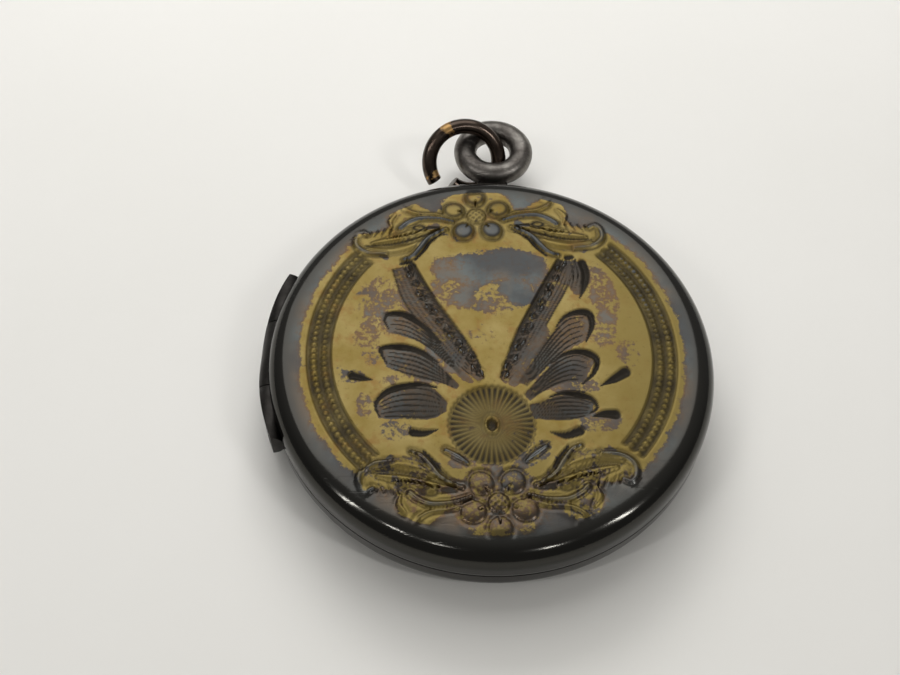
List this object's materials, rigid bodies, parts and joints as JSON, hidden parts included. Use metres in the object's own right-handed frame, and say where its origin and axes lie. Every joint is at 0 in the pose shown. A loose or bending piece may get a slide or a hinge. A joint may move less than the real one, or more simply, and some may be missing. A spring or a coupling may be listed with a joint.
{
  "type": "round photograph locket",
  "caption": "Round hinged photograph locket with a gilded engraved front, side hinge, snap lip, framed photograph wells, soldered bail and a jump ring.",
  "frame": {"origin": "centre of the flat rest field on the back, where the closed locket lies on a table", "axes": "+Z out through the front cover, +Y from the case centre towards the bail and jump ring, -X towards the hinge"},
  "size_m": [0.0327, 0.0398, 0.0055],
  "materials": {
    "tarnished_case": "tarnished dark silver plate on brass, glossy on the rim",
    "plain_inner_metal": "satin brass, lightly toned",
    "pin_wire": "drawn wire",
    "bail_wire": "dark matt tarnish",
    "jump_wire": "glossy dark tarnish with gold worn through",
    "gilt_front": "worn gilding, engraved and stamped, with dark recesses",
    "frame_gilt": "bright gilt",
    "lens_glass": "clear",
    "photo_card": "matt",
    "backing_card": "matt"
  },
  "bodies": {
    "back_half": {"back_cover": "tarnished_case", "back_rim": "plain_inner_metal", "snap_lip": "plain_inner_metal", "knuckle_bail_side": "tarnished_case", "knuckle_far_side": "tarnished_case", "hinge_pin": "pin_wire", "bail_foot": "tarnished_case", "bail_ring": "bail_wire", "back_backing_card": "backing_card", "back_photo_card": "photo_card", "back_lens": "lens_glass", "back_frame": "frame_gilt"},
    "front_half": {"front_cover": "gilt_front", "front_rim": "plain_inner_metal", "knuckle_middle": "tarnished_case", "front_backing_card": "backing_card", "front_photo_card": "photo_card", "front_lens": "lens_glass", "front_frame": "frame_gilt"},
    "loose_ring": {"jump_ring": "jump_wire"}
  },
  "joints": [
    {"name": "lid_hinge", "type": "hinge", "parent": "back_half", "child": "front_half", "pos_m": [-0.0155, 0, 0.0027], "axis": [0, -1, 0], "range_deg": [0, 130]},
    {"name": "ring_slide_round", "type": "hinge", "parent": "back_half", "child": "loose_ring", "pos_m": [0, 0.02055, 0.0026], "axis": [0, 0, 1], "range_deg": [-230, 5]}
  ]
}
